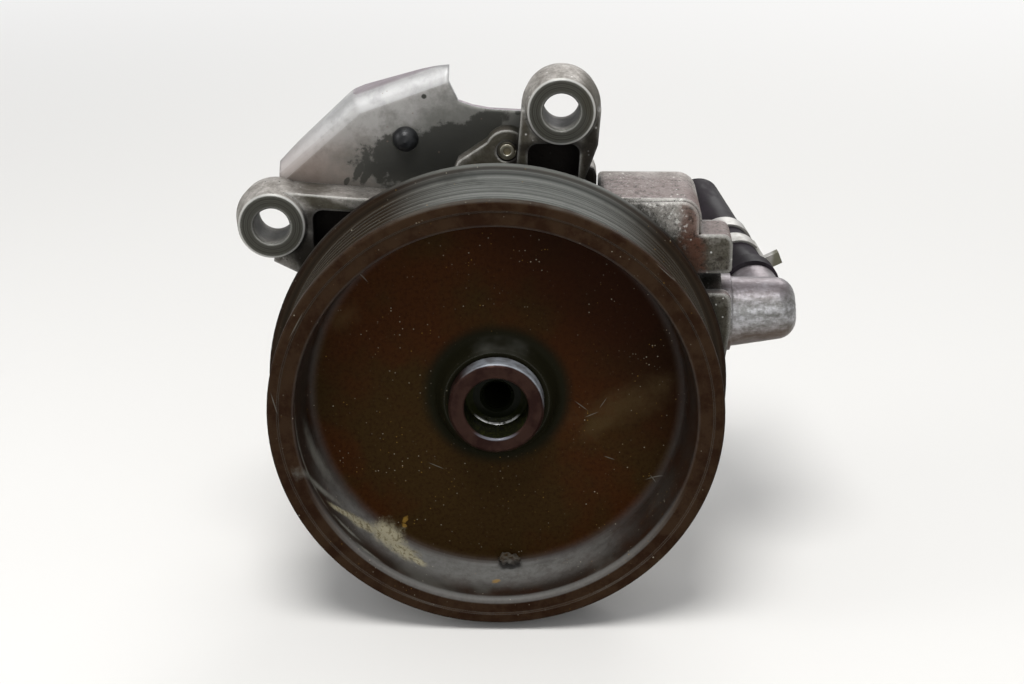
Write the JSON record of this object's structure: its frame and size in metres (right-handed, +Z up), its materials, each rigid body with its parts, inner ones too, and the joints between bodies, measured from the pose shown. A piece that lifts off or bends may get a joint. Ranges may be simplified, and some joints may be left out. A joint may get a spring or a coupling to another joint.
{
  "type": "power steering pump",
  "caption": "Vane-type power steering pump with a moulded ribbed-belt pulley, cast housing, suction hose stub and bent bracket plate.",
  "frame": {"origin": "on the shaft's axis, at the centre of the hub's open bore, in the plane of the hub's front face", "axes": "shaft along Y with the pulley at -Y, +X to the right as seen from the pulley, +Z up"},
  "size_m": [0.1666, 0.1213, 0.1595],
  "materials": {
    "cast_aluminium": "sand-cast, dull and dirty, machined on the ears' faces",
    "elbow_aluminium": "cast, light and mottled",
    "plate_steel": "plain sheet, oil-stained",
    "pulley_moulding": "moulded, satin, with light dirt",
    "hub_steel": "turned, dark with oil",
    "steel": "ground",
    "spring_steel": "dull",
    "zinc_steel": "plated, dull",
    "clamp_steel": "bright strip",
    "bronze": "turned",
    "copper": "soft washer",
    "seal_rubber": "matt black",
    "hose_rubber": "matt black"
  },
  "bodies": {
    "pump_body": {"housing": "cast_aluminium", "rear_cover": "cast_aluminium", "cover_bolts": "zinc_steel", "cover_seal": "seal_rubber", "cam_ring": "steel", "front_side_plate": "steel", "rear_side_plate": "steel", "dowel_pins": "steel", "bearing_outer_race": "steel", "bearing_circlip": "spring_steel", "shaft_seal": "seal_rubber", "rear_bush": "bronze", "outlet_fitting": "zinc_steel", "outlet_washer": "copper", "valve_spring": "spring_steel", "inlet_elbow": "elbow_aluminium", "elbow_seal": "seal_rubber", "suction_hose": "hose_rubber", "hose_clamp": "clamp_steel", "bracket_plate": "plate_steel", "rubber_plug": "seal_rubber", "plate_screws": "zinc_steel"},
    "rotor_set": {"pulley": "pulley_moulding", "pulley_hub": "hub_steel", "drive_shaft": "steel", "rotor": "steel", "vanes": "steel", "bearing_inner_race": "steel", "rotor_snap_ring": "spring_steel"},
    "ball_set": {"bearing_balls": "steel", "bearing_cage": "bronze"},
    "flow_valve": {"flow_spool": "steel", "relief_seat": "bronze", "relief_spring": "spring_steel"},
    "relief_valve": {"relief_ball": "steel"}
  },
  "joints": [
    {"name": "shaft_spin", "type": "hinge", "parent": "pump_body", "child": "rotor_set", "pos_m": [0, 0, 0], "axis": [0, 1, 0], "continuous": true},
    {"name": "cage_spin", "type": "hinge", "parent": "pump_body", "child": "ball_set", "pos_m": [0, 0, 0], "axis": [0, 1, 0], "continuous": true},
    {"name": "flow_valve_slide", "type": "slide", "parent": "pump_body", "child": "flow_valve", "axis": [0, -1, 0], "range_m": [0, 0.007], "stiffness_N_per_m": 8000, "springref_m": -0.004, "deforming": ["valve_spring"]},
    {"name": "relief_lift", "type": "slide", "parent": "flow_valve", "child": "relief_valve", "axis": [0, 1, 0], "range_m": [0, 0.001], "stiffness_N_per_m": 4000, "springref_m": -0.001, "deforming": ["relief_spring"]}
  ],
  "couplings": [
    {"joint": "cage_spin", "follows": "shaft_spin", "ratio": 0.3818}
  ]
}
